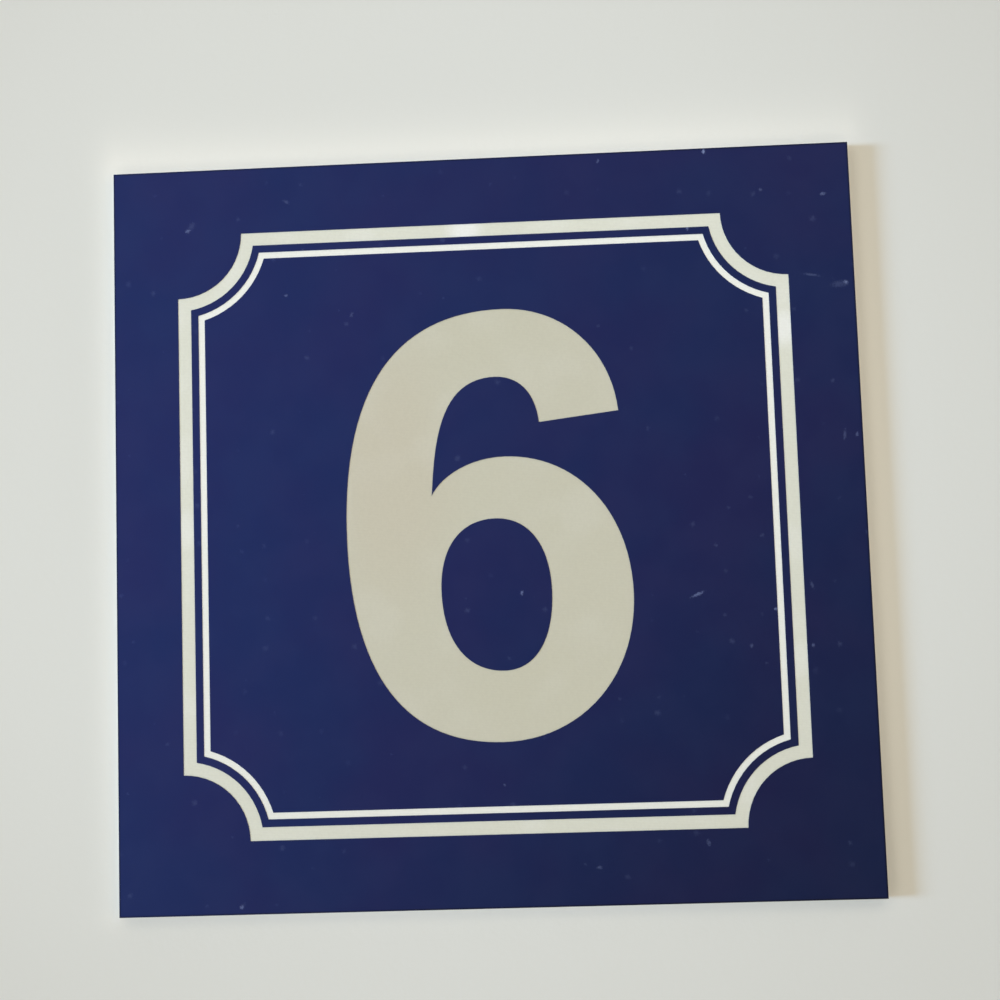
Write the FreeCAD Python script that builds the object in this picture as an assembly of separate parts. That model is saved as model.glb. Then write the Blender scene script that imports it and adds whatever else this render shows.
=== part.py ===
import FreeCAD, Part
import math
import os

# House number plaque: a square of two-colour engraving laminate, a thick off-white core sheet under a
# thin blue surface. The engraver has cut through the blue, and a hair into the core, to show the core as
# a figure 6 and as a thick and a thin border line with hollowed corners.
# x runs to the right as the plaque is read, y runs into the wall and z runs up. The origin is the middle
# of the flat back. All sizes are in millimetres and all angles in degrees.

# The sheet
plate_width = 100.0
plate_height = 100.0
core_thickness = 1.55
blue_thickness = 0.05
depth_into_core = 0.02

# The border: how far the thick line stands in from each edge of the plate, and the widths across it
side_margin = 8.75
top_margin = 9.05
foot_margin = 9.45
thick_line = 1.75
line_gap = 1.0
thin_line = 0.85
corner_radius = 8.75

# The figure: its room above and below inside the border, its width, how far the hook stands above the
# bowl, and the widths of the strokes
figure_clearance = 8.3
figure_width = 37.85
hook_rise = 20.0
left_stroke = 12.45
right_stroke = 10.75
crown_stroke = 9.2
bowl_stroke = 8.25
foot_stroke = 9.3

# Where the hook ends: its outer tip below the crown and in from the widest place, and its cut end
tip_drop = 14.35
tip_inset = 1.1
cut_length = 10.7
cut_slope = 6.4

# Where the bowl runs into the stem: a sharp notch below the bowl's top, one stroke in from the left
notch_drop = 4.9
notch_stroke = 11.5

# How far to the right of the figure's middle each curve reaches its highest or lowest place
crown_shift = 2.75
arch_shift = 1.5
bowl_shift = 2.45
eye_top_shift = 0.95
eye_foot_shift = 1.6
foot_shift = 1.05
eye_left_lift = 0.85

# Directions in which a curve leaves a tip or the notch, from level, turning towards upright and beyond
tip_angle = 95.0
stem_angle = 86.0
notch_angle = 62.0

# Fullness of the curves: each handle as a share of the way that its curve has to go in that direction
back_across = 0.70
back_up = 0.62
bowl_across = 0.58
bowl_up = 0.58
eye_across = 0.63
eye_up = 0.61
crown_across = 0.52
tip_up = 0.60
shoulder_across = 0.47
notch_pull = 0.27
stem_up = 0.47
arch_left = 0.83
arch_right = 0.47
inner_tip_up = 0.73

# Depths that follow from these
core_front = -core_thickness
blue_front = core_front - blue_thickness
engraved_floor = core_front + depth_into_core

# Widths that follow from these, in from the border's outer edge
strip_inset = thick_line
thin_inset = thick_line + line_gap
field_inset = thick_line + line_gap + thin_line


def at(x, z):
    return FreeCAD.Vector(x, 0, z)


def heading(angle):
    """A step of one millimetre in a direction, from level."""
    return at(math.cos(math.radians(angle)), math.sin(math.radians(angle)))


def line(start, end):
    return Part.LineSegment(start, end).toShape()


def curve(start, start_handle, end_handle, end):
    bezier = Part.BezierCurve()
    bezier.setPoles([start, start_handle, end_handle, end])
    return bezier.toShape()


def bow_from_level(start, end, across, up):
    """A quarter bow that leaves its start level and meets its end upright."""
    way = end - start
    return curve(start, start + at(way.x * across, 0), end - at(0, way.z * up), end)


def bow_from_upright(start, end, across, up):
    """A quarter bow that leaves its start upright and meets its end level."""
    way = end - start
    return curve(start, start + at(0, way.z * up), end - at(way.x * across, 0), end)


def slab(outline, back, front):
    """The solid inside an outline, from one depth to another."""
    face = Part.Face(outline)
    face.translate(FreeCAD.Vector(0, back, 0))
    return face.extrude(FreeCAD.Vector(0, front - back, 0))


def ring(outer, inner, back, front):
    """The solid between two outlines."""
    return slab(outer, back, front).cut(slab(inner, back, front))


def plate_outline():
    right = plate_width / 2
    top = plate_height / 2
    corners = [at(-right, -top), at(right, -top), at(right, top), at(-right, top)]
    return Part.makePolygon(corners + corners[:1])


def hollowed_corner(x, z, inward_x, inward_z, inset):
    """A corner's arc about the border's outermost corner: its ends on the upright side and on the level
    side, and its middle."""
    radius = corner_radius + inset
    reach = math.sqrt(radius ** 2 - inset ** 2)
    slant = radius * math.sqrt(0.5)
    on_upright = at(x + inward_x * inset, z + inward_z * reach)
    on_level = at(x + inward_x * reach, z + inward_z * inset)
    middle = at(x + inward_x * slant, z + inward_z * slant)
    return on_upright, middle, on_level


def border_outline(inset):
    """A line of the border: a square with hollowed corners, all its lines a constant width apart."""
    right = plate_width / 2 - side_margin
    top = plate_height / 2 - top_margin
    foot = foot_margin - plate_height / 2
    top_left = hollowed_corner(-right, top, 1, -1, inset)
    top_right = hollowed_corner(right, top, -1, -1, inset)
    foot_right = hollowed_corner(right, foot, -1, 1, inset)
    foot_left = hollowed_corner(-right, foot, 1, 1, inset)
    # With the clock, the four arcs are each passed from the end that comes first
    arcs = [top_left, top_right[::-1], foot_right, foot_left[::-1]]
    edges = []
    for number, arc in enumerate(arcs):
        following = arcs[(number + 1) % len(arcs)]
        edges.append(Part.Arc(*arc).toShape())
        edges.append(line(arc[-1], following[0]))
    return Part.Wire(edges)


def figure_frame():
    """The lines that the figure is set out from: it stands in the middle of the blue field."""
    foot = foot_margin - plate_height / 2 + field_inset + figure_clearance
    crown = plate_height / 2 - top_margin - field_inset - figure_clearance
    return {
        "left": -figure_width / 2,
        "right": figure_width / 2,
        "foot": foot,
        "bowl": crown - hook_rise,
        "crown": crown,
        "waist": (foot + crown) / 2,
    }


def figure_outline():
    """The outside of the 6, from the hook's outer tip round the back, the foot and the bowl."""
    lines = figure_frame()
    bowl_middle = (lines["bowl"] + lines["foot"]) / 2
    tip = at(lines["right"] - tip_inset, lines["crown"] - tip_drop)
    inner_tip = tip - heading(cut_slope) * cut_length
    crown = at(crown_shift, lines["crown"])
    back = at(lines["left"], lines["waist"])
    foot = at(foot_shift, lines["foot"])
    cheek = at(lines["right"], bowl_middle)
    bowl = at(bowl_shift, lines["bowl"])
    notch = at(lines["left"] + notch_stroke, lines["bowl"] - notch_drop)
    arch = at(arch_shift, lines["crown"] - crown_stroke)
    level = at(1, 0)

    hook = curve(
        tip,
        tip + heading(tip_angle) * (tip_up * (crown.z - tip.z)),
        crown + level * (crown_across * (tip.x - crown.x)),
        crown)
    shoulder = curve(
        bowl,
        bowl - level * (shoulder_across * (bowl.x - notch.x)),
        notch + heading(notch_angle) * (notch_pull * (bowl - notch).Length),
        notch)
    stem = curve(
        notch,
        notch + heading(stem_angle) * (stem_up * (arch.z - notch.z)),
        arch - level * (arch_left * (arch.x - notch.x)),
        arch)
    under_hook = curve(
        arch,
        arch + level * (arch_right * (inner_tip.x - arch.x)),
        inner_tip + heading(tip_angle) * (inner_tip_up * (arch.z - inner_tip.z)),
        inner_tip)
    return Part.Wire([
        hook,
        bow_from_level(crown, back, back_across, back_up),
        bow_from_upright(back, foot, back_across, back_up),
        bow_from_level(foot, cheek, bowl_across, bowl_up),
        bow_from_upright(cheek, bowl, bowl_across, bowl_up),
        shoulder,
        stem,
        under_hook,
        line(inner_tip, tip),
    ])


def eye_outline():
    """The egg-shaped opening of the bowl."""
    lines = figure_frame()
    eye_top = lines["bowl"] - bowl_stroke
    eye_foot = lines["foot"] + foot_stroke
    middle = (eye_top + eye_foot) / 2
    top = at(eye_top_shift, eye_top)
    foot = at(eye_foot_shift, eye_foot)
    left = at(lines["left"] + left_stroke, middle + eye_left_lift)
    right = at(lines["right"] - right_stroke, middle)
    return Part.Wire([
        bow_from_level(top, right, eye_across, eye_up),
        bow_from_upright(right, foot, eye_across, eye_up),
        bow_from_level(foot, left, eye_across, eye_up),
        bow_from_upright(left, top, eye_across, eye_up),
    ])


def engraving():
    """What the cutter takes away: the two border lines and the figure, through the blue to the floor."""
    thick = ring(border_outline(0), border_outline(strip_inset), engraved_floor, blue_front)
    thin = ring(border_outline(thin_inset), border_outline(field_inset), engraved_floor, blue_front)
    figure = ring(figure_outline(), eye_outline(), engraved_floor, blue_front)
    return [thick, thin, figure]


def core_sheet():
    return slab(plate_outline(), 0, core_front).cut(engraving())


def blue_margin():
    """The blue left standing between the plate's edges and the thick line."""
    return ring(plate_outline(), border_outline(0), core_front, blue_front)


def blue_strip():
    """The narrow blue between the thick and the thin line."""
    return ring(border_outline(strip_inset), border_outline(thin_inset), core_front, blue_front)


def blue_field():
    """The blue inside the thin line, round the figure."""
    return ring(border_outline(field_inset), figure_outline(), core_front, blue_front)


def blue_eye():
    """The island of blue left standing in the eye of the figure."""
    return slab(eye_outline(), core_front, blue_front)


def main():
    os.makedirs("parts", exist_ok=True)
    nodes = {
        "core_sheet": core_sheet(),
        "blue_margin": blue_margin(),
        "blue_strip": blue_strip(),
        "blue_field": blue_field(),
        "blue_eye": blue_eye(),
    }
    for name, shape in nodes.items():
        solids = shape.Solids
        whole = solids[0] if len(solids) == 1 else Part.makeCompound(solids)
        whole.exportStep("parts/" + name + ".step")
        print(name, len(solids), "solid", round(whole.Volume, 2), "mm3")


main()
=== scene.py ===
import math
import bpy
from mathutils import Matrix, Vector


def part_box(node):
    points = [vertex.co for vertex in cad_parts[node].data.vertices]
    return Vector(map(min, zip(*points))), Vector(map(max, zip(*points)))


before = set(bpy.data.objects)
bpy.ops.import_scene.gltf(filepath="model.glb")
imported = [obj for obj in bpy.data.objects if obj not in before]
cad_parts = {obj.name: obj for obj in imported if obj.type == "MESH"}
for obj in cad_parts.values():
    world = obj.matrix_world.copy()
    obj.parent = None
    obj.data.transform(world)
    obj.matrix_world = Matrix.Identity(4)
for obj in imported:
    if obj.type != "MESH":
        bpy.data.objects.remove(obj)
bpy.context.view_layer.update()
print("frame loaded:", ", ".join(sorted(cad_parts)))

mm = 0.001
plateLow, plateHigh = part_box("core_sheet")
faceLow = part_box("blue_margin")[0]
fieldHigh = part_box("blue_field")[1]
plateWidth = plateHigh[0] - plateLow[0]
plateHeight = plateHigh[2] - plateLow[2]
frontFace = faceLow[1]


# Small helpers for building node trees

def addNode(tree, kind, inputs=None, **settings):
    node = tree.nodes.new(kind)
    for name, value in settings.items():
        setattr(node, name, value)
    for name, value in (inputs or {}).items():
        if isinstance(value, bpy.types.NodeSocket):
            tree.links.new(value, node.inputs[name])
        else:
            node.inputs[name].default_value = value
    return node


def calc(tree, operation, *values):
    # one Math node, its inputs given in order
    node = addNode(tree, "ShaderNodeMath", dict(enumerate(values)), operation=operation)
    return node.outputs[0]


def vectorCalc(tree, operation, *values):
    node = addNode(tree, "ShaderNodeVectorMath", dict(enumerate(values)), operation=operation)
    return node.outputs[0]


def ramp(tree, value, fromLow, fromHigh, toLow, toHigh, smooth=False):
    # what lies between two values becomes what lies between two others
    settings = {"interpolation_type": "SMOOTHSTEP"} if smooth else {}
    node = addNode(tree, "ShaderNodeMapRange", {
        "Value": value, "From Min": fromLow, "From Max": fromHigh, "To Min": toLow, "To Max": toHigh},
        **settings)
    return node.outputs["Result"]


def blendColour(tree, share, first, second):
    node = addNode(tree, "ShaderNodeMix", data_type="RGBA")
    for name, value in (("Factor_Float", share), ("A_Color", first), ("B_Color", second)):
        socket = next(s for s in node.inputs if s.identifier == name)
        if isinstance(value, bpy.types.NodeSocket):
            tree.links.new(value, socket)
        else:
            socket.default_value = value
    return next(s for s in node.outputs if s.identifier == "Result_Color")


def noise(tree, position, scale, detail=2.0, roughness=0.5):
    node = addNode(tree, "ShaderNodeTexNoise", {
        "Vector": position, "Scale": scale, "Detail": detail, "Roughness": roughness})
    return node.outputs[0]


def screenColour(red, green, blue):
    # a colour read off a screen, 0 to 255, as linear light
    def linear(value):
        value /= 255
        return value / 12.92 if value <= 0.04045 else ((value + 0.055) / 1.055) ** 2.4
    return (linear(red), linear(green), linear(blue), 1.0)


def startGroup(name, inputs, outputs):
    # a shader group with named inputs (name: default) and named outputs (name: socket type)
    group = bpy.data.node_groups.new(name, "ShaderNodeTree")
    for socketName, value in inputs.items():
        kind = "NodeSocketVector" if isinstance(value, tuple) else "NodeSocketFloat"
        socket = group.interface.new_socket(socketName, in_out="INPUT", socket_type=kind)
        socket.default_value = value
    for socketName, kind in outputs.items():
        group.interface.new_socket(socketName, in_out="OUTPUT", socket_type=kind)
    return group, group.nodes.new("NodeGroupInput").outputs, group.nodes.new("NodeGroupOutput").inputs


def useGroup(tree, group, **inputs):
    node = tree.nodes.new("ShaderNodeGroup")
    node.node_tree = group
    for name, value in inputs.items():
        if isinstance(value, bpy.types.NodeSocket):
            tree.links.new(value, node.inputs[name])
        else:
            node.inputs[name].default_value = value
    return node.outputs


# Effects that the finishes are made with, each one a shader group. All positions in them are in
# millimetres. A small dictionary holds what stays the same wherever a group is used, and a contrast there
# is the two noise values that become 0 and 1.

mottleLook = {
    "contrast": (0.32, 0.68),
}


def buildSoftMottle(look):
    # slow, cloudy change over the surface, 0 to 1
    group, given, out = startGroup(
        "softMottle", {"Position": (0.0, 0.0, 0.0), "Size": 20.0, "Detail": 2.0},
        {"Mask": "NodeSocketFloat"})
    cloud = noise(group, given["Position"], calc(group, "DIVIDE", 1.0, given["Size"]), given["Detail"])
    group.links.new(ramp(group, cloud, *look["contrast"], 0.0, 1.0, smooth=True), out["Mask"])
    return group


grainLook = {
    "pebbleDetail": 1.5,
    "pebbleRoughness": 0.6,
    "pebbleContrast": (0.4, 0.6),
    "swellScale": 0.12,
    "swellDetail": 1.0,
    "swellShare": 0.8,
}


def buildFineGrain(look):
    # the pebbled skin of a satin sheet: a height for the bump and the same grain as a mask
    group, given, out = startGroup(
        "fineGrain", {"Position": (0.0, 0.0, 0.0), "Size": 0.3},
        {"Height": "NodeSocketFloat", "Mask": "NodeSocketFloat"})
    scale = calc(group, "DIVIDE", 1.0, given["Size"])
    pebbles = noise(group, given["Position"], scale, look["pebbleDetail"], look["pebbleRoughness"])
    broader = calc(group, "MULTIPLY", scale, look["swellScale"])
    swell = noise(group, given["Position"], broader, look["swellDetail"])
    raised = calc(group, "MULTIPLY", swell, look["swellShare"])
    group.links.new(calc(group, "ADD", pebbles, raised), out["Height"])
    group.links.new(ramp(group, pebbles, *look["pebbleContrast"], 0.0, 1.0), out["Mask"])
    return group


dustLook = {
    "wanderScale": 3.0,
    "wanderReach": 0.55,
    "sizes": (0.4, 1.3),
    "brightness": (0.25, 1.0),
}


def buildDustSpecks(look):
    # sparse specks of dust over the face: one to a cell, and only in some of the cells
    group, given, out = startGroup(
        "dustSpecks", {"Position": (0.0, 0.0, 0.0), "Spacing": 3.0, "Size": 0.15, "Share": 0.3},
        {"Mask": "NodeSocketFloat"})
    scale = calc(group, "DIVIDE", 1.0, given["Spacing"])
    place = addNode(group, "ShaderNodeSeparateXYZ", {0: given["Position"]}).outputs
    flat = addNode(group, "ShaderNodeCombineXYZ", {0: place["X"], 1: place["Z"]}).outputs[0]
    # a small wander of the place makes the specks uneven in outline
    wander = addNode(group, "ShaderNodeTexNoise", {
        "Vector": flat, "Scale": look["wanderScale"], "Detail": 1.0}, noise_dimensions="2D").outputs["Color"]
    wander = addNode(group, "ShaderNodeVectorMath", {0: wander, "Scale": look["wanderReach"]},
                     operation="SCALE").outputs[0]
    flat = vectorCalc(group, "ADD", flat, wander)
    cells = addNode(group, "ShaderNodeTexVoronoi", {"Vector": flat, "Scale": scale},
                    voronoi_dimensions="2D")
    chance = addNode(group, "ShaderNodeSeparateColor", {"Color": cells.outputs["Color"]}).outputs
    reach = calc(group, "MULTIPLY", cells.outputs["Distance"], given["Spacing"])
    # uneven sizes: the second random value of a cell sets its speck's radius
    radius = calc(group, "MULTIPLY", given["Size"], ramp(group, chance[1], 0.0, 1.0, *look["sizes"]))
    spot = ramp(group, reach, radius, 0.0, 0.0, 1.0, smooth=True)
    taken = calc(group, "LESS_THAN", chance[0], given["Share"])
    brightness = ramp(group, chance[2], 0.0, 1.0, *look["brightness"])
    shown = calc(group, "MULTIPLY", calc(group, "MULTIPLY", spot, taken), brightness)
    group.links.new(shown, out["Mask"])
    return group


markLook = {
    # in shares of the length and width: nothing past the first, the full mark inside the second
    "edge": (0.62, 0.12),
}


def buildSurfaceMark(look):
    # one soft spot at a known place on the face: a speck, a nick, a scratch or a painted glint
    group, given, out = startGroup(
        "surfaceMark",
        {"Position": (0.0, 0.0, 0.0), "Centre": (0.0, 0.0, 0.0), "Length": 0.5, "Width": 0.2,
         "Angle": 0.0, "Fray": 0.0},
        {"Mask": "NodeSocketFloat"})
    offset = vectorCalc(group, "SUBTRACT", given["Position"], given["Centre"])
    turned = addNode(group, "ShaderNodeVectorRotate", {"Vector": offset, "Angle": given["Angle"]},
                     rotation_type="Y_AXIS").outputs[0]
    size = addNode(group, "ShaderNodeCombineXYZ", {0: given["Length"], 1: 1.0, 2: given["Width"]}).outputs[0]
    reach = addNode(group, "ShaderNodeVectorMath", {0: vectorCalc(group, "DIVIDE", turned, size)},
                    operation="LENGTH").outputs["Value"]
    frayed = calc(group, "ADD", reach, given["Fray"])
    group.links.new(ramp(group, frayed, *look["edge"], 0.0, 1.0, smooth=True), out["Mask"])
    return group


toolLook = {
    "driftScale": 0.6,
    "unevenScale": 2.5,
}


def buildToolLines(look):
    # the fine passes of a cutter or a saw, counted along one coordinate: a height and a mask, both 0 to 1
    group, given, out = startGroup(
        "toolLines", {"Position": (0.0, 0.0, 0.0), "Along": 0.0, "Pitch": 0.25, "Wander": 0.1},
        {"Height": "NodeSocketFloat", "Mask": "NodeSocketFloat"})
    drift = calc(group, "MULTIPLY", noise(group, given["Position"], look["driftScale"]), given["Wander"])
    turns = calc(group, "DIVIDE", calc(group, "ADD", given["Along"], drift), given["Pitch"])
    wave = calc(group, "SINE", calc(group, "MULTIPLY", turns, 2 * math.pi))
    height = ramp(group, wave, -1.0, 1.0, 0.0, 1.0)
    uneven = noise(group, given["Position"], look["unevenScale"])
    group.links.new(height, out["Height"])
    group.links.new(calc(group, "MULTIPLY", height, uneven), out["Mask"])
    return group


def buildRimDistance():
    # how far a point is from the nearest outer edge of the plate
    group, given, out = startGroup(
        "rimDistance", {"Position": (0.0, 0.0, 0.0), "Half width": 50.0, "Half height": 50.0},
        {"Distance": "NodeSocketFloat"})
    place = addNode(group, "ShaderNodeSeparateXYZ", {0: given["Position"]}).outputs
    side = calc(group, "SUBTRACT", given["Half width"], calc(group, "ABSOLUTE", place["X"]))
    level = calc(group, "SUBTRACT", given["Half height"], calc(group, "ABSOLUTE", place["Z"]))
    group.links.new(calc(group, "MINIMUM", side, level), out["Distance"])
    return group


scratchLook = {
    "bendScale": 0.05,
    # two families that cross: the direction in radians, and how much it is drawn out
    "families": ((0.5, 0.12), (-1.1, 0.10)),
    "breakScale": 0.25,
    "breaks": (0.48, 0.62),
}


def buildHairScratches(look):
    # long, thin scuffs that cross each other, broken up along their length
    group, given, out = startGroup(
        "hairScratches", {"Position": (0.0, 0.0, 0.0), "Spacing": 8.0, "Width": 0.06},
        {"Mask": "NodeSocketFloat"})
    scale = calc(group, "DIVIDE", 1.0, given["Spacing"])
    bent = vectorCalc(group, "ADD", given["Position"], addNode(group, "ShaderNodeTexNoise", {
        "Vector": given["Position"], "Scale": look["bendScale"], "Detail": 1.0}).outputs["Color"])
    total = None
    for angle, stretch in look["families"]:
        turned = addNode(group, "ShaderNodeVectorRotate", {"Vector": bent, "Angle": angle},
                         rotation_type="Y_AXIS").outputs[0]
        place = addNode(group, "ShaderNodeSeparateXYZ", {0: turned}).outputs
        long = addNode(group, "ShaderNodeCombineXYZ", {
            0: calc(group, "MULTIPLY", place["X"], stretch), 1: place["Z"]}).outputs[0]
        cells = addNode(group, "ShaderNodeTexVoronoi", {"Vector": long, "Scale": scale},
                        voronoi_dimensions="2D", feature="DISTANCE_TO_EDGE")
        reach = calc(group, "MULTIPLY", cells.outputs["Distance"], given["Spacing"])
        line = ramp(group, reach, given["Width"], 0.0, 0.0, 1.0, smooth=True)
        total = line if total is None else calc(group, "MAXIMUM", total, line)
    broken = ramp(group, noise(group, given["Position"], look["breakScale"]), *look["breaks"], 0.0, 1.0,
                  smooth=True)
    group.links.new(calc(group, "MULTIPLY", total, broken), out["Mask"])
    return group


def buildBorderDepth():
    # how far a point is inside the outer edge of the border, whose corners are hollowed
    group, given, out = startGroup(
        "borderDepth", {"Position": (0.0, 0.0, 0.0), "Right": 40.0, "Top": 40.0, "Foot": -40.0,
                        "Corner radius": 8.0},
        {"Depth": "NodeSocketFloat"})
    place = addNode(group, "ShaderNodeSeparateXYZ", {0: given["Position"]}).outputs
    side = calc(group, "SUBTRACT", given["Right"], calc(group, "ABSOLUTE", place["X"]))
    below = calc(group, "SUBTRACT", given["Top"], place["Z"])
    above = calc(group, "SUBTRACT", place["Z"], given["Foot"])
    level = calc(group, "MINIMUM", below, above)
    reach = calc(group, "SQRT", calc(group, "ADD", calc(group, "MULTIPLY", side, side),
                                     calc(group, "MULTIPLY", level, level)))
    corner = calc(group, "SUBTRACT", reach, given["Corner radius"])
    group.links.new(calc(group, "MINIMUM", corner, calc(group, "MINIMUM", side, level)), out["Depth"])
    return group


softMottle = buildSoftMottle(mottleLook)
fineGrain = buildFineGrain(grainLook)
dustSpecks = buildDustSpecks(dustLook)
surfaceMark = buildSurfaceMark(markLook)
toolLines = buildToolLines(toolLook)
rimDistance = buildRimDistance()
hairScratches = buildHairScratches(scratchLook)
borderDepth = buildBorderDepth()
print("shared effects built:", len(bpy.data.node_groups))


def startMaterial(name):
    # a material with its shader, and positions on the piece in millimetres
    material = bpy.data.materials.new(name)
    material.use_nodes = True
    tree = material.node_tree
    shader = tree.nodes["Principled BSDF"]
    place = addNode(tree, "ShaderNodeTexCoord").outputs["Object"]
    position = vectorCalc(tree, "MULTIPLY", place, (1 / mm, 1 / mm, 1 / mm))
    return material, tree, shader, position


# The blue surface

blueSurface = {
    "colour": screenColour(25, 34, 67),
    "cloudColour": screenColour(31, 31, 65),
    "cloudSize": 20.0,
    "cloudDetail": 4.0,
    # painted shade, darker towards the lower right corner: its colour, how much, where it starts and where it
    # is full
    "paintedShadeColour": screenColour(16, 20, 30),
    "paintedShadeShare": 0.34,
    "paintedShadeFrom": 15.0,
    "paintedShadeTo": 48.0,
    "grainSize": 0.28,
    "grainHeight": 0.004,
    "roughness": (0.30, 0.36),
    "gloss": 0.35,
    "dustColour": screenColour(120, 132, 172),
    "dustSpacing": 5.0,
    "dustSize": 0.46,
    "dustShare": 0.5,
    "dustStrength": 0.12,
    "filmSize": 5.5,
    "filmStrength": 0.012,
    "rimColour": screenColour(13, 14, 24),
    "rimWidth": 0.36,
    "fray": 0.25,
    "frayScale": 5.0,
    "frayContrast": (0.3, 0.7),
    "markRoughness": 0.3,
    # specks, nicks and scratches that stand out: x, z, length, width, angle in degrees, strength
    "marks": [
        (48.8, 30.8, 0.70, 0.55, 0, 0.60),
        (48.0, 30.6, 2.40, 1.00, 5, 0.13),
        (27.3, -10.15, 1.90, 0.42, 21, 0.50),
        (-39.8, 41.6, 0.80, 0.60, 30, 0.45),
        (-39.3, 42.2, 1.50, 0.90, 54, 0.11),
        (44.3, 32.0, 2.40, 0.36, -8, 0.20),
        (46.35, 43.0, 0.75, 0.52, 11, 0.40),
        (4.2, -9.2, 0.65, 0.42, 71, 0.55),
        (-33.8, -49.0, 0.64, 0.52, 43, 0.45),
        (27.3, -42.3, 0.95, 0.57, 107, 0.18),
        (47.6, 10.3, 1.40, 0.44, 83, 0.18),
        (49.2, 10.3, 0.70, 0.43, 73, 0.28),
        (13.1, -45.1, 0.75, 0.46, 0, 0.20),
        (34.05, -17.1, 0.64, 0.48, 60, 0.20),
        (-26.5, 32.1, 0.52, 0.47, 0, 0.36),
        (42.3, -9.4, 1.10, 0.39, 112, 0.18),
        (16.4, 48.9, 0.71, 0.41, 81, 0.28),
        (-26.2, 45.1, 1.05, 0.48, 151, 0.18),
        (42.05, -17.3, 0.56, 0.42, 88, 0.32),
        (-17.6, 29.1, 0.90, 0.42, 71, 0.18),
        (38.05, 43.95, 0.53, 0.50, 0, 0.25),
        (1.1, -34.2, 0.42, 0.30, 104, 0.30),
        (30.7, 49.55, 0.70, 0.50, 80, 1.00),
        (37.45, -12.4, 0.70, 0.40, 0, 0.55),
        (28.05, 39.1, 0.44, 0.70, 0, 0.55),
    ],
}


def makeBlueSurface(look):
    material, tree, shader, position = startMaterial("satin_blue_surface")
    cloud = useGroup(tree, softMottle, Position=position, Size=look["cloudSize"],
                     Detail=look["cloudDetail"])["Mask"]
    colour = blendColour(tree, cloud, look["colour"], look["cloudColour"])
    film = useGroup(tree, softMottle, Position=position, Size=look["filmSize"])["Mask"]
    colour = blendColour(tree, calc(tree, "MULTIPLY", film, look["filmStrength"]), colour, look["dustColour"])
    # painted shade: a little darker towards the lower right corner, where less light falls
    place = addNode(tree, "ShaderNodeSeparateXYZ", {0: position}).outputs
    towardsCorner = calc(tree, "MULTIPLY", calc(tree, "SUBTRACT", place["X"], place["Z"]), 0.5)
    paintedShade = ramp(tree, towardsCorner, look["paintedShadeFrom"], look["paintedShadeTo"], 0.0, look["paintedShadeShare"])
    colour = blendColour(tree, paintedShade, colour, look["paintedShadeColour"])
    grain = useGroup(tree, fineGrain, Position=position, Size=look["grainSize"])

    rim = useGroup(tree, rimDistance, Position=position, **{
        "Half width": plateWidth / 2 / mm, "Half height": plateHeight / 2 / mm})["Distance"]
    rimShade = ramp(tree, rim, 0.0, look["rimWidth"], 1.0, 0.0, smooth=True)
    colour = blendColour(tree, rimShade, colour, look["rimColour"])

    dust = useGroup(tree, dustSpecks, Position=position, Spacing=look["dustSpacing"],
                    Size=look["dustSize"], Share=look["dustShare"])["Mask"]
    soiled = calc(tree, "MULTIPLY", dust, look["dustStrength"])
    # the marks' outlines are frayed by a noise
    fray = ramp(tree, noise(tree, position, look["frayScale"]), *look["frayContrast"],
                -look["fray"], look["fray"])
    for x, z, length, width, angle, strength in look["marks"]:
        mark = useGroup(tree, surfaceMark, Position=position, Centre=(x, frontFace / mm, z),
                        Length=length, Width=width, Angle=math.radians(angle), Fray=fray)["Mask"]
        soiled = calc(tree, "MAXIMUM", soiled, calc(tree, "MULTIPLY", mark, strength))
    colour = blendColour(tree, soiled, colour, look["dustColour"])
    tree.links.new(colour, shader.inputs["Base Color"])

    low, high = look["roughness"]
    polish = ramp(tree, grain["Mask"], 0.0, 1.0, low, high)
    rougher = calc(tree, "MULTIPLY", soiled, look["markRoughness"])
    tree.links.new(calc(tree, "ADD", polish, rougher), shader.inputs["Roughness"])
    shader.inputs["Specular IOR Level"].default_value = look["gloss"]
    bump = addNode(tree, "ShaderNodeBump", {
        "Height": grain["Height"], "Distance": look["grainHeight"] * mm, "Strength": 1.0})
    tree.links.new(bump.outputs["Normal"], shader.inputs["Normal"])
    return material


# The off-white core, seen in the engraving, at the edges and at the back

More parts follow.
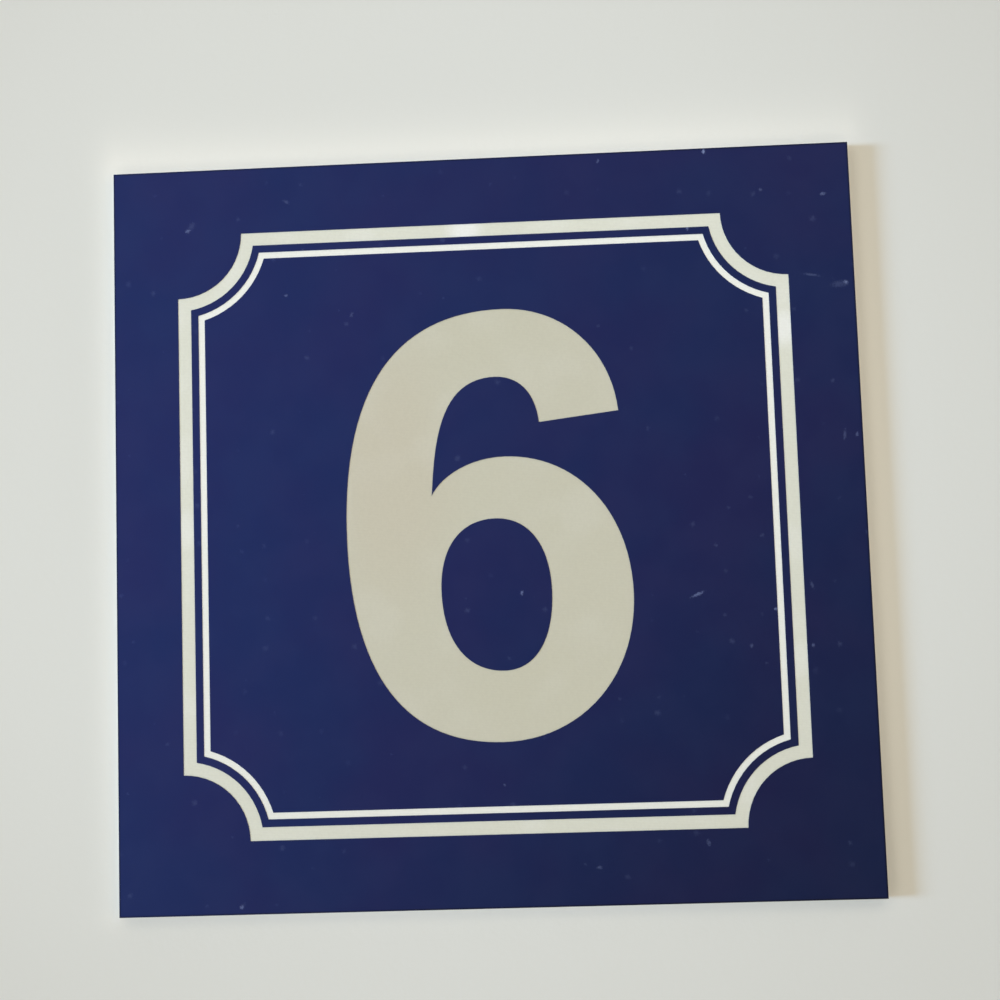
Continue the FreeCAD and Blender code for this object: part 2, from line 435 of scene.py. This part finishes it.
engravedCore = {
    "figureColour": screenColour(212, 208, 187),
    "figureCloudColour": screenColour(213, 209, 189),
    # the figure's back stroke is a little warmer: x, z, width and height of that place
    "figureWarmColour": screenColour(212, 205, 184),
    "warmPlace": (-13.0, 7.0, 20.0, 40.0),
    "thickLineColour": screenColour(236, 236, 221),
    "thinLineColour": screenColour(255, 255, 247),
    # the colour of the cleaner places, and of the painted glints on the thick line
    "cleanAndGlintColour": screenColour(255, 255, 250),
    "cleanSize": 8.0,
    "cleanContrast": (0.48, 0.72),
    "cleanShare": {"lines": 0.25, "figure": 0.06},
    # painted glints, the brightest places on the thick line: x, z, how far they reach, strength
    "paintedGlints": [
        (-2.0, 40.1, 5.5, 0.95),
        (40.4, 25.0, 6.0, 0.85),
        (40.4, -19.0, 6.0, 0.45),
        (-40.4, 0.6, 6.0, 0.45),
    ],
    # painted shade on the floors, darker towards the foot and the right: where it starts and is full, its
    # lean to the right, how strong on the lines and on the figure
    "footShadeFrom": -22.0,
    "footShadeTo": 52.0,
    "footShadeLean": 0.4,
    "paintedFootShade": {"lines": 0.19, "figure": 0.10},
    "sheetColour": screenColour(212, 210, 200),
    "sheetCloudColour": screenColour(208, 206, 195),
    "sawnColour": screenColour(203, 199, 187),
    # the colour of the tool marks, scuffs and grain, and of the painted shade towards the foot
    "stainAndShadeColour": screenColour(150, 140, 116),
    "cloudSize": 18.0,
    "thickLine": 1.75,
    "lineGap": 1.0,
    "cornerRadius": 8.75,
    "engravedDepth": 0.07,
    # how closely a place has to lie at a floor or an edge to be dressed as one
    "floorSlack": 0.02,
    "edgeSlack": 0.01,
    # well past the thin line, and well short of the figure
    "lineClearance": 1.5,
    "passPitch": 0.21,
    "passHeight": 0.003,
    "passShade": 0.10,
    "sawPitch": 0.42,
    "sawSlant": 0.35,
    "sawWander": 0.6,
    "sawHeight": 0.02,
    "sawShade": 0.45,
    "grainSize": 0.35,
    "grainHeight": 0.006,
    "grainShade": 0.035,
    "scuffSpacing": 9.0,
    "scuffShade": 0.14,
    "roughness": 0.6,
    "gloss": 0.3,
}


def makeEngravedCore(look):
    material, tree, shader, position = startMaterial("engraved_off_white_core")
    place = addNode(tree, "ShaderNodeSeparateXYZ", {0: position}).outputs
    stripLow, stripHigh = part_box("blue_strip")
    # millimetres inside the border's outer edge, which is one thick line outside the blue strip
    depth = useGroup(tree, borderDepth, Position=position, **{
        "Right": stripHigh[0] / mm + look["thickLine"],
        "Top": stripHigh[2] / mm + look["thickLine"],
        "Foot": stripLow[2] / mm - look["thickLine"],
        "Corner radius": look["cornerRadius"]})["Depth"]
    betweenLines = look["thickLine"] + look["lineGap"] / 2
    pastLines = (stripHigh[0] - fieldHigh[0]) / mm + look["thickLine"] + look["lineClearance"]

    # where a point is: on a sawn edge, on an engraved floor, or else on the plain back
    rim = useGroup(tree, rimDistance, Position=position, **{
        "Half width": plateWidth / 2 / mm, "Half height": plateHeight / 2 / mm})["Distance"]
    sawn = calc(tree, "LESS_THAN", rim, look["edgeSlack"])
    floorPlace = frontFace / mm + look["engravedDepth"]
    inFront = calc(tree, "LESS_THAN", place["Y"], floorPlace + look["floorSlack"])
    engraved = calc(tree, "MULTIPLY", inFront, calc(tree, "SUBTRACT", 1.0, sawn))

    cloud = useGroup(tree, softMottle, Position=position, Size=look["cloudSize"])["Mask"]
    grain = useGroup(tree, fineGrain, Position=position, Size=look["grainSize"])
    figure = blendColour(tree, cloud, look["figureColour"], look["figureCloudColour"])
    warmX, warmZ, warmWidth, warmHeight = look["warmPlace"]
    warm = useGroup(tree, surfaceMark, Position=position, Centre=(warmX, frontFace / mm, warmZ),
                    Length=warmWidth, Width=warmHeight)["Mask"]
    figure = blendColour(tree, warm, figure, look["figureWarmColour"])
    # the lines are cleaner in some places than in others, with painted glints at given places, and painted
    # shade darkens the floors towards the foot and the right
    patches = noise(tree, position, 1.0 / look["cleanSize"], detail=1.0)
    onBorder = calc(tree, "LESS_THAN", depth, pastLines)
    lines = blendColour(tree, calc(tree, "LESS_THAN", depth, betweenLines), look["thinLineColour"],
                        look["thickLineColour"])
    floor = blendColour(tree, onBorder, figure, lines)
    cleanShare = look["cleanShare"]
    cleanest = ramp(tree, onBorder, 0.0, 1.0, cleanShare["figure"], cleanShare["lines"])
    washed = ramp(tree, patches, *look["cleanContrast"], 0.0, 1.0, smooth=True)
    cleanAndGlint = calc(tree, "MULTIPLY", cleanest, washed)
    # painted glints: the thick line made brightest at given places
    for x, z, size, strength in look["paintedGlints"]:
        spot = useGroup(tree, surfaceMark, Position=position, Centre=(x, frontFace / mm, z),
                        Length=size, Width=size)["Mask"]
        cleanAndGlint = calc(tree, "MAXIMUM", cleanAndGlint, calc(tree, "MULTIPLY", spot, strength))
    floor = blendColour(tree, cleanAndGlint, floor, look["cleanAndGlintColour"])
    # painted shade: the floors darken towards the foot and the right
    towardsFoot = calc(tree, "SUBTRACT", calc(tree, "MULTIPLY", place["X"], look["footShadeLean"]), place["Z"])
    paintedFootShade = look["paintedFootShade"]
    mostFootShade = ramp(tree, onBorder, 0.0, 1.0, paintedFootShade["figure"], paintedFootShade["lines"])
    lowDown = ramp(tree, towardsFoot, look["footShadeFrom"], look["footShadeTo"], 0.0, 1.0)
    footShade = calc(tree, "MULTIPLY", mostFootShade, lowDown)
    floor = blendColour(tree, footShade, floor, look["stainAndShadeColour"])
    sheet = blendColour(tree, cloud, look["sheetColour"], look["sheetCloudColour"])
    colour = blendColour(tree, engraved, sheet, floor)
    colour = blendColour(tree, sawn, colour, look["sawnColour"])

    # the cutter's level passes on the floors, the saw's slanting marks on the edges, scuffs on the back
    passes = useGroup(tree, toolLines, Position=position, Along=place["Z"], Pitch=look["passPitch"])
    alongEdge = calc(tree, "ADD", calc(tree, "ADD", place["X"], place["Z"]),
                     calc(tree, "MULTIPLY", place["Y"], look["sawSlant"]))
    saw = useGroup(tree, toolLines, Position=position, Along=alongEdge, Pitch=look["sawPitch"],
                   Wander=look["sawWander"])
    scuffs = useGroup(tree, hairScratches, Position=position, Spacing=look["scuffSpacing"])["Mask"]
    passShade = calc(tree, "MULTIPLY", calc(tree, "MULTIPLY", passes["Mask"], engraved), look["passShade"])
    sawShade = calc(tree, "MULTIPLY", calc(tree, "MULTIPLY", saw["Mask"], sawn), look["sawShade"])
    plain = calc(tree, "SUBTRACT", 1.0, calc(tree, "MAXIMUM", engraved, sawn))
    scuffShade = calc(tree, "MULTIPLY", calc(tree, "MULTIPLY", scuffs, plain), look["scuffShade"])
    shade = calc(tree, "ADD", passShade, calc(tree, "ADD", sawShade, scuffShade))
    shade = calc(tree, "ADD", shade, calc(tree, "MULTIPLY", grain["Mask"], look["grainShade"]))
    colour = blendColour(tree, shade, colour, look["stainAndShadeColour"])
    tree.links.new(colour, shader.inputs["Base Color"])

    shader.inputs["Roughness"].default_value = look["roughness"]
    shader.inputs["Specular IOR Level"].default_value = look["gloss"]
    height = calc(tree, "MULTIPLY", calc(tree, "MULTIPLY", passes["Height"], engraved), look["passHeight"])
    sawHeight = calc(tree, "MULTIPLY", calc(tree, "MULTIPLY", saw["Height"], sawn), look["sawHeight"])
    height = calc(tree, "ADD", height, sawHeight)
    height = calc(tree, "ADD", height, calc(tree, "MULTIPLY", grain["Height"], look["grainHeight"]))
    bump = addNode(tree, "ShaderNodeBump", {"Height": height, "Distance": mm, "Strength": 1.0})
    tree.links.new(bump.outputs["Normal"], shader.inputs["Normal"])
    return material


def dress(nodeName, material):
    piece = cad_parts[nodeName]
    piece.data.materials.clear()
    piece.data.materials.append(material)


blueMaterial = makeBlueSurface(blueSurface)
for nodeName in ("blue_margin", "blue_strip", "blue_field", "blue_eye"):
    dress(nodeName, blueMaterial)
    # thinner than a hair, so it is given no shadow that would show on the engraved floors
    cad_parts[nodeName].visible_shadow = False
dress("core_sheet", makeEngravedCore(engravedCore))
print("finishes on:", ", ".join(sorted(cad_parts)))


# The light-coloured wall that the plaque is held against, with painted light beside the plate and
# painted shade far from it. It is open behind the plate and can't be seen from behind, so that the
# plate's back shows from there.

paleWall = {
    "colour": screenColour(230, 230, 226),
    # painted light beside the plate: its colour, how far it reaches on each side, how it fades
    "paintedLightColour": screenColour(254, 252, 246),
    "paintedLightReach": {"left": 2.4, "right": 2.2, "top": 4.4, "foot": 1.7},
    "paintedLightFall": 1.5,
    # painted shade far from a place to the upper left of the plate's middle: its colour, that place, where it
    # starts and where it is full
    "paintedShadeColour": screenColour(217, 216, 211),
    "unshadedMiddle": (-14.0, 18.0),
    "paintedShadeFrom": 45.0,
    "paintedShadeTo": 120.0,
    "grainSize": 0.8,
    "grainHeight": 0.02,
    # in metres: its width, how far it stands before the plate's back, how far it runs into the plate's edges
    "size": 1.4,
    "setForward": 0.0001,
    "tuck": 0.00005,
}


def makeWall(look):
    half = look["size"] / 2
    holeX = plateWidth / 2 - look["tuck"]
    holeZ = plateHeight / 2 - look["tuck"]
    y = plateHigh[1] - look["setForward"]
    corners = []
    for reachX, reachZ in ((half, half), (holeX, holeZ)):
        corners += [(-reachX, y, -reachZ), (reachX, y, -reachZ), (reachX, y, reachZ), (-reachX, y, reachZ)]
    faces = [(n, (n + 1) % 4, 4 + (n + 1) % 4, 4 + n) for n in range(4)]
    mesh = bpy.data.meshes.new("pale_wall")
    mesh.from_pydata(corners, [], faces)
    wall = bpy.data.objects.new("pale_wall", mesh)
    bpy.context.collection.objects.link(wall)
    material, tree, shader, position = startMaterial("pale_wall")
    place = addNode(tree, "ShaderNodeSeparateXYZ", {0: position}).outputs
    # painted light, palest against the plate and fading outwards, and painted shade, a little darker
    # far from a place to the upper left of the plate's middle
    gaps = {
        "left": calc(tree, "SUBTRACT", plateLow[0] / mm, place["X"]),
        "right": calc(tree, "SUBTRACT", place["X"], plateHigh[0] / mm),
        "top": calc(tree, "SUBTRACT", place["Z"], plateHigh[2] / mm),
        "foot": calc(tree, "SUBTRACT", plateLow[2] / mm, place["Z"]),
    }
    squares = None
    for side, gap in gaps.items():
        share = calc(tree, "DIVIDE", calc(tree, "MAXIMUM", gap, 0.0), look["paintedLightReach"][side])
        square = calc(tree, "MULTIPLY", share, share)
        squares = square if squares is None else calc(tree, "ADD", squares, square)
    gone = calc(tree, "POWER", squares, look["paintedLightFall"] / 2)
    paintedLight = calc(tree, "EXPONENT", calc(tree, "MULTIPLY", gone, -1.0))
    colour = blendColour(tree, paintedLight, look["colour"], look["paintedLightColour"])
    middleX, middleZ = look["unshadedMiddle"]
    fromMiddle = vectorCalc(tree, "SUBTRACT", position, (middleX, y / mm, middleZ))
    away = addNode(tree, "ShaderNodeVectorMath", {0: fromMiddle}, operation="LENGTH").outputs["Value"]
    paintedShade = ramp(tree, away, look["paintedShadeFrom"], look["paintedShadeTo"], 0.0, 1.0, smooth=True)
    colour = blendColour(tree, paintedShade, colour, look["paintedShadeColour"])
    grain = useGroup(tree, fineGrain, Position=position, Size=look["grainSize"])
    bump = addNode(tree, "ShaderNodeBump", {
        "Height": grain["Height"], "Distance": look["grainHeight"] * mm, "Strength": 1.0})
    tree.nodes.remove(shader)
    shader = addNode(tree, "ShaderNodeBsdfDiffuse", {"Color": colour, "Normal": bump.outputs["Normal"]})
    behind = addNode(tree, "ShaderNodeNewGeometry").outputs["Backfacing"]
    seen = addNode(tree, "ShaderNodeLightPath").outputs["Is Camera Ray"]
    clear = addNode(tree, "ShaderNodeBsdfTransparent")
    mix = addNode(tree, "ShaderNodeMixShader", {0: calc(tree, "MULTIPLY", behind, seen)})
    tree.links.new(shader.outputs[0], mix.inputs[1])
    tree.links.new(clear.outputs[0], mix.inputs[2])
    tree.links.new(mix.outputs[0], tree.nodes["Material Output"].inputs["Surface"])
    mesh.materials.append(material)


makeWall(paleWall)
print("wall placed")


# Light: a cool, far window on the left casts the shadow beside the right edge, and a warm room lights the
# rest. Straight ahead the room is dim, and the gloss sees only a share of it, so that the satin blue stays
# deep. Only the gloss sees the blue glow in front, which is strongest at the upper left.

studio = {
    "windowColour": (0.42, 0.67, 1.0),
    "windowStrength": 3.21,
    "windowRise": 17.4,
    "windowBreadth": 11.5,
    "roomColour": (1.03, 0.947, 0.782, 1.0),
    "fillColour": (0.98, 0.99, 1.0, 1.0),
    "roomStrength": 1.48,
    "roomUpwards": 0.15,
    "roomRightwards": -0.2,
    "skyStrength": 0.5,
    "skyRise": (0.3, 0.9),
    "skyFade": (-0.1, 0.15),
    "horizonFade": (-0.08, 0.08),
    "aheadStrength": 0.04,
    "lowStrength": 0.64,
    "rearStrength": 0.95,
    "rearTilt": (0.25, 0.45),
    "rearFade": (0.0, -0.3),
    "rightStrength": 0.9,
    "rightRise": (0.3, 0.9),
    "rightFade": (0.2, 0.4),
    "mirroredShare": 0.35,
    "lowFade": (0.35, 0.60),
    "aheadFade": (0.66, 0.88),
    "glowColour": (0.10, 0.22, 1.0, 1.0),
    "glowAhead": 0.88,
    "glowRightwards": -6.5,
    "glowUpwards": 5.5,
    "glowFalloff": -8.9,
    "glowTwist": 10.5,
    "glowLimit": 2.77,
    "glowLeast": 0.15,
    "glowFade": (0.4, 0.8),
    "backdropColour": screenColour(214, 215, 209),
}


def aim(item, target, roll=0.0):
    # turns an object so that its -Z looks at the target, its top towards +Z apart from the roll
    forward = (Vector(target) - item.location).normalized()
    right = forward.cross(Vector((0, 0, 1))).normalized()
    up = right.cross(forward)
    turn = Matrix((right, up, -forward)).transposed()
    item.rotation_euler = (turn @ Matrix.Rotation(roll, 3, "Z")).to_euler()


def makeWindow(look):
    # a broad, far window on the left: how far it rises from the wall's own plane is windowRise
    data = bpy.data.lights.new("window", "SUN")
    data.color = look["windowColour"]
    data.energy = look["windowStrength"]
    data.angle = math.radians(look["windowBreadth"])
    light = bpy.data.objects.new("window", data)
    bpy.context.collection.objects.link(light)
    rise = math.radians(look["windowRise"])
    light.location = (-math.cos(rise), -math.sin(rise), 0.0)
    aim(light, (0, 0, 0))


def makeRoom(look):
    world = bpy.data.worlds.new("studio_room")
    bpy.context.scene.world = world
    world.use_nodes = True
    tree = world.node_tree
    tree.nodes.clear()
    direction = addNode(tree, "ShaderNodeTexCoord").outputs["Generated"]
    along = addNode(tree, "ShaderNodeSeparateXYZ", {0: direction}).outputs
    ahead = calc(tree, "MULTIPLY", along["Y"], -1.0)
    around = ramp(tree, ahead, *look["lowFade"], look["lowStrength"], look["roomStrength"], smooth=True)
    dim = ramp(tree, ahead, *look["aheadFade"], 1.0, look["aheadStrength"], smooth=True)
    # a little more of it comes from above and from the left, and a soft sky fills in overhead
    tilt = calc(tree, "ADD", calc(tree, "MULTIPLY", along["Z"], look["roomUpwards"]),
                calc(tree, "MULTIPLY", along["X"], look["roomRightwards"]))
    around = calc(tree, "MULTIPLY", around, calc(tree, "ADD", tilt, 1.0))
    overhead = ramp(tree, along["Z"], *look["skyRise"], 0.0, look["skyStrength"], smooth=True)
    sky = calc(tree, "MULTIPLY", overhead, ramp(tree, ahead, *look["skyFade"], 0.0, 1.0, smooth=True))
    around = calc(tree, "MAXIMUM", around, sky)
    inFront = ramp(tree, ahead, *look["horizonFade"], 0.0, 1.0, smooth=True)
    # the satin surface mirrors only a share of the room, as if seen past a dark screen
    seen = addNode(tree, "ShaderNodeLightPath").outputs
    mirroring = ramp(tree, seen["Is Glossy Ray"], 0.0, 1.0, 1.0, look["mirroredShare"])
    shown = calc(tree, "MULTIPLY", inFront, mirroring)
    strength = calc(tree, "MULTIPLY", calc(tree, "MULTIPLY", around, dim), shown)
    room = addNode(tree, "ShaderNodeBackground", {"Color": look["roomColour"], "Strength": strength})

    # a neutral fill: behind the wall for the plain back, and on the right for the edge there
    sideways, upwards = look["rearTilt"]
    tilt = calc(tree, "ADD", calc(tree, "MULTIPLY", along["Z"], upwards),
                calc(tree, "MULTIPLY", along["X"], sideways))
    rear = ramp(tree, ahead, *look["rearFade"], 0.0, look["rearStrength"], smooth=True)
    behind = calc(tree, "MULTIPLY", rear, calc(tree, "ADD", tilt, 1.0))
    beside = ramp(tree, along["X"], *look["rightRise"], 0.0, look["rightStrength"], smooth=True)
    low = ramp(tree, ahead, *look["rightFade"], 1.0, 0.0, smooth=True)
    right = calc(tree, "MULTIPLY", beside, calc(tree, "MULTIPLY", shown, low))
    fill = addNode(tree, "ShaderNodeBackground", {
        "Color": look["fillColour"], "Strength": calc(tree, "ADD", behind, right)})

    # the glow grows to the left and upwards, and less so the higher it is
    twisted = calc(tree, "MULTIPLY", along["Z"], look["glowTwist"])
    rightwards = calc(tree, "MULTIPLY", along["X"], calc(tree, "ADD", twisted, look["glowRightwards"]))
    falling = calc(tree, "MULTIPLY", along["Z"], look["glowFalloff"])
    steepness = calc(tree, "ADD", falling, look["glowUpwards"])
    upwards = calc(tree, "MULTIPLY", along["Z"], steepness)
    glow = calc(tree, "ADD", calc(tree, "ADD", rightwards, upwards), look["glowAhead"])
    glow = calc(tree, "MULTIPLY", glow, ramp(tree, ahead, *look["glowFade"], 0.0, 1.0, smooth=True))
    glow = calc(tree, "MINIMUM", calc(tree, "MAXIMUM", glow, look["glowLeast"]), look["glowLimit"])
    glow = calc(tree, "MULTIPLY", glow, inFront)
    glow = calc(tree, "MULTIPLY", glow, seen["Is Glossy Ray"])
    mirrored = addNode(tree, "ShaderNodeBackground", {"Color": look["glowColour"], "Strength": glow})
    light = addNode(tree, "ShaderNodeAddShader", {0: room.outputs[0], 1: mirrored.outputs[0]})
    light = addNode(tree, "ShaderNodeAddShader", {0: light.outputs[0], 1: fill.outputs[0]})

    backdrop = addNode(tree, "ShaderNodeBackground", {"Color": look["backdropColour"], "Strength": 1.0})
    mix = addNode(tree, "ShaderNodeMixShader", {
        0: seen["Is Camera Ray"], 1: light.outputs[0], 2: backdrop.outputs[0]})
    output = addNode(tree, "ShaderNodeOutputWorld")
    tree.links.new(mix.outputs[0], output.inputs["Surface"])


makeWindow(studio)
makeRoom(studio)
print("light set")


# The camera stands 200 mm in front of the plaque, a little low and to the right, as in the photograph

viewpoint = {
    "place": (0.0095, -0.2002, -0.0155),
    "target": (0.00167, frontFace, 0.00323),
    "roll": -1.838,
    "focalLength": 54.0,
    "sensorWidth": 36.0,
    "clip": (0.01, 20.0),
}


def makeCamera(look):
    data = bpy.data.cameras.new("camera")
    data.sensor_width = look["sensorWidth"]
    data.lens = look["focalLength"]
    data.clip_start, data.clip_end = look["clip"]
    camera = bpy.data.objects.new("camera", data)
    bpy.context.collection.objects.link(camera)
    camera.location = look["place"]
    aim(camera, look["target"], math.radians(look["roll"]))
    bpy.context.scene.camera = camera


makeCamera(viewpoint)
bpy.context.scene.view_settings.view_transform = "Standard"
print("camera placed")
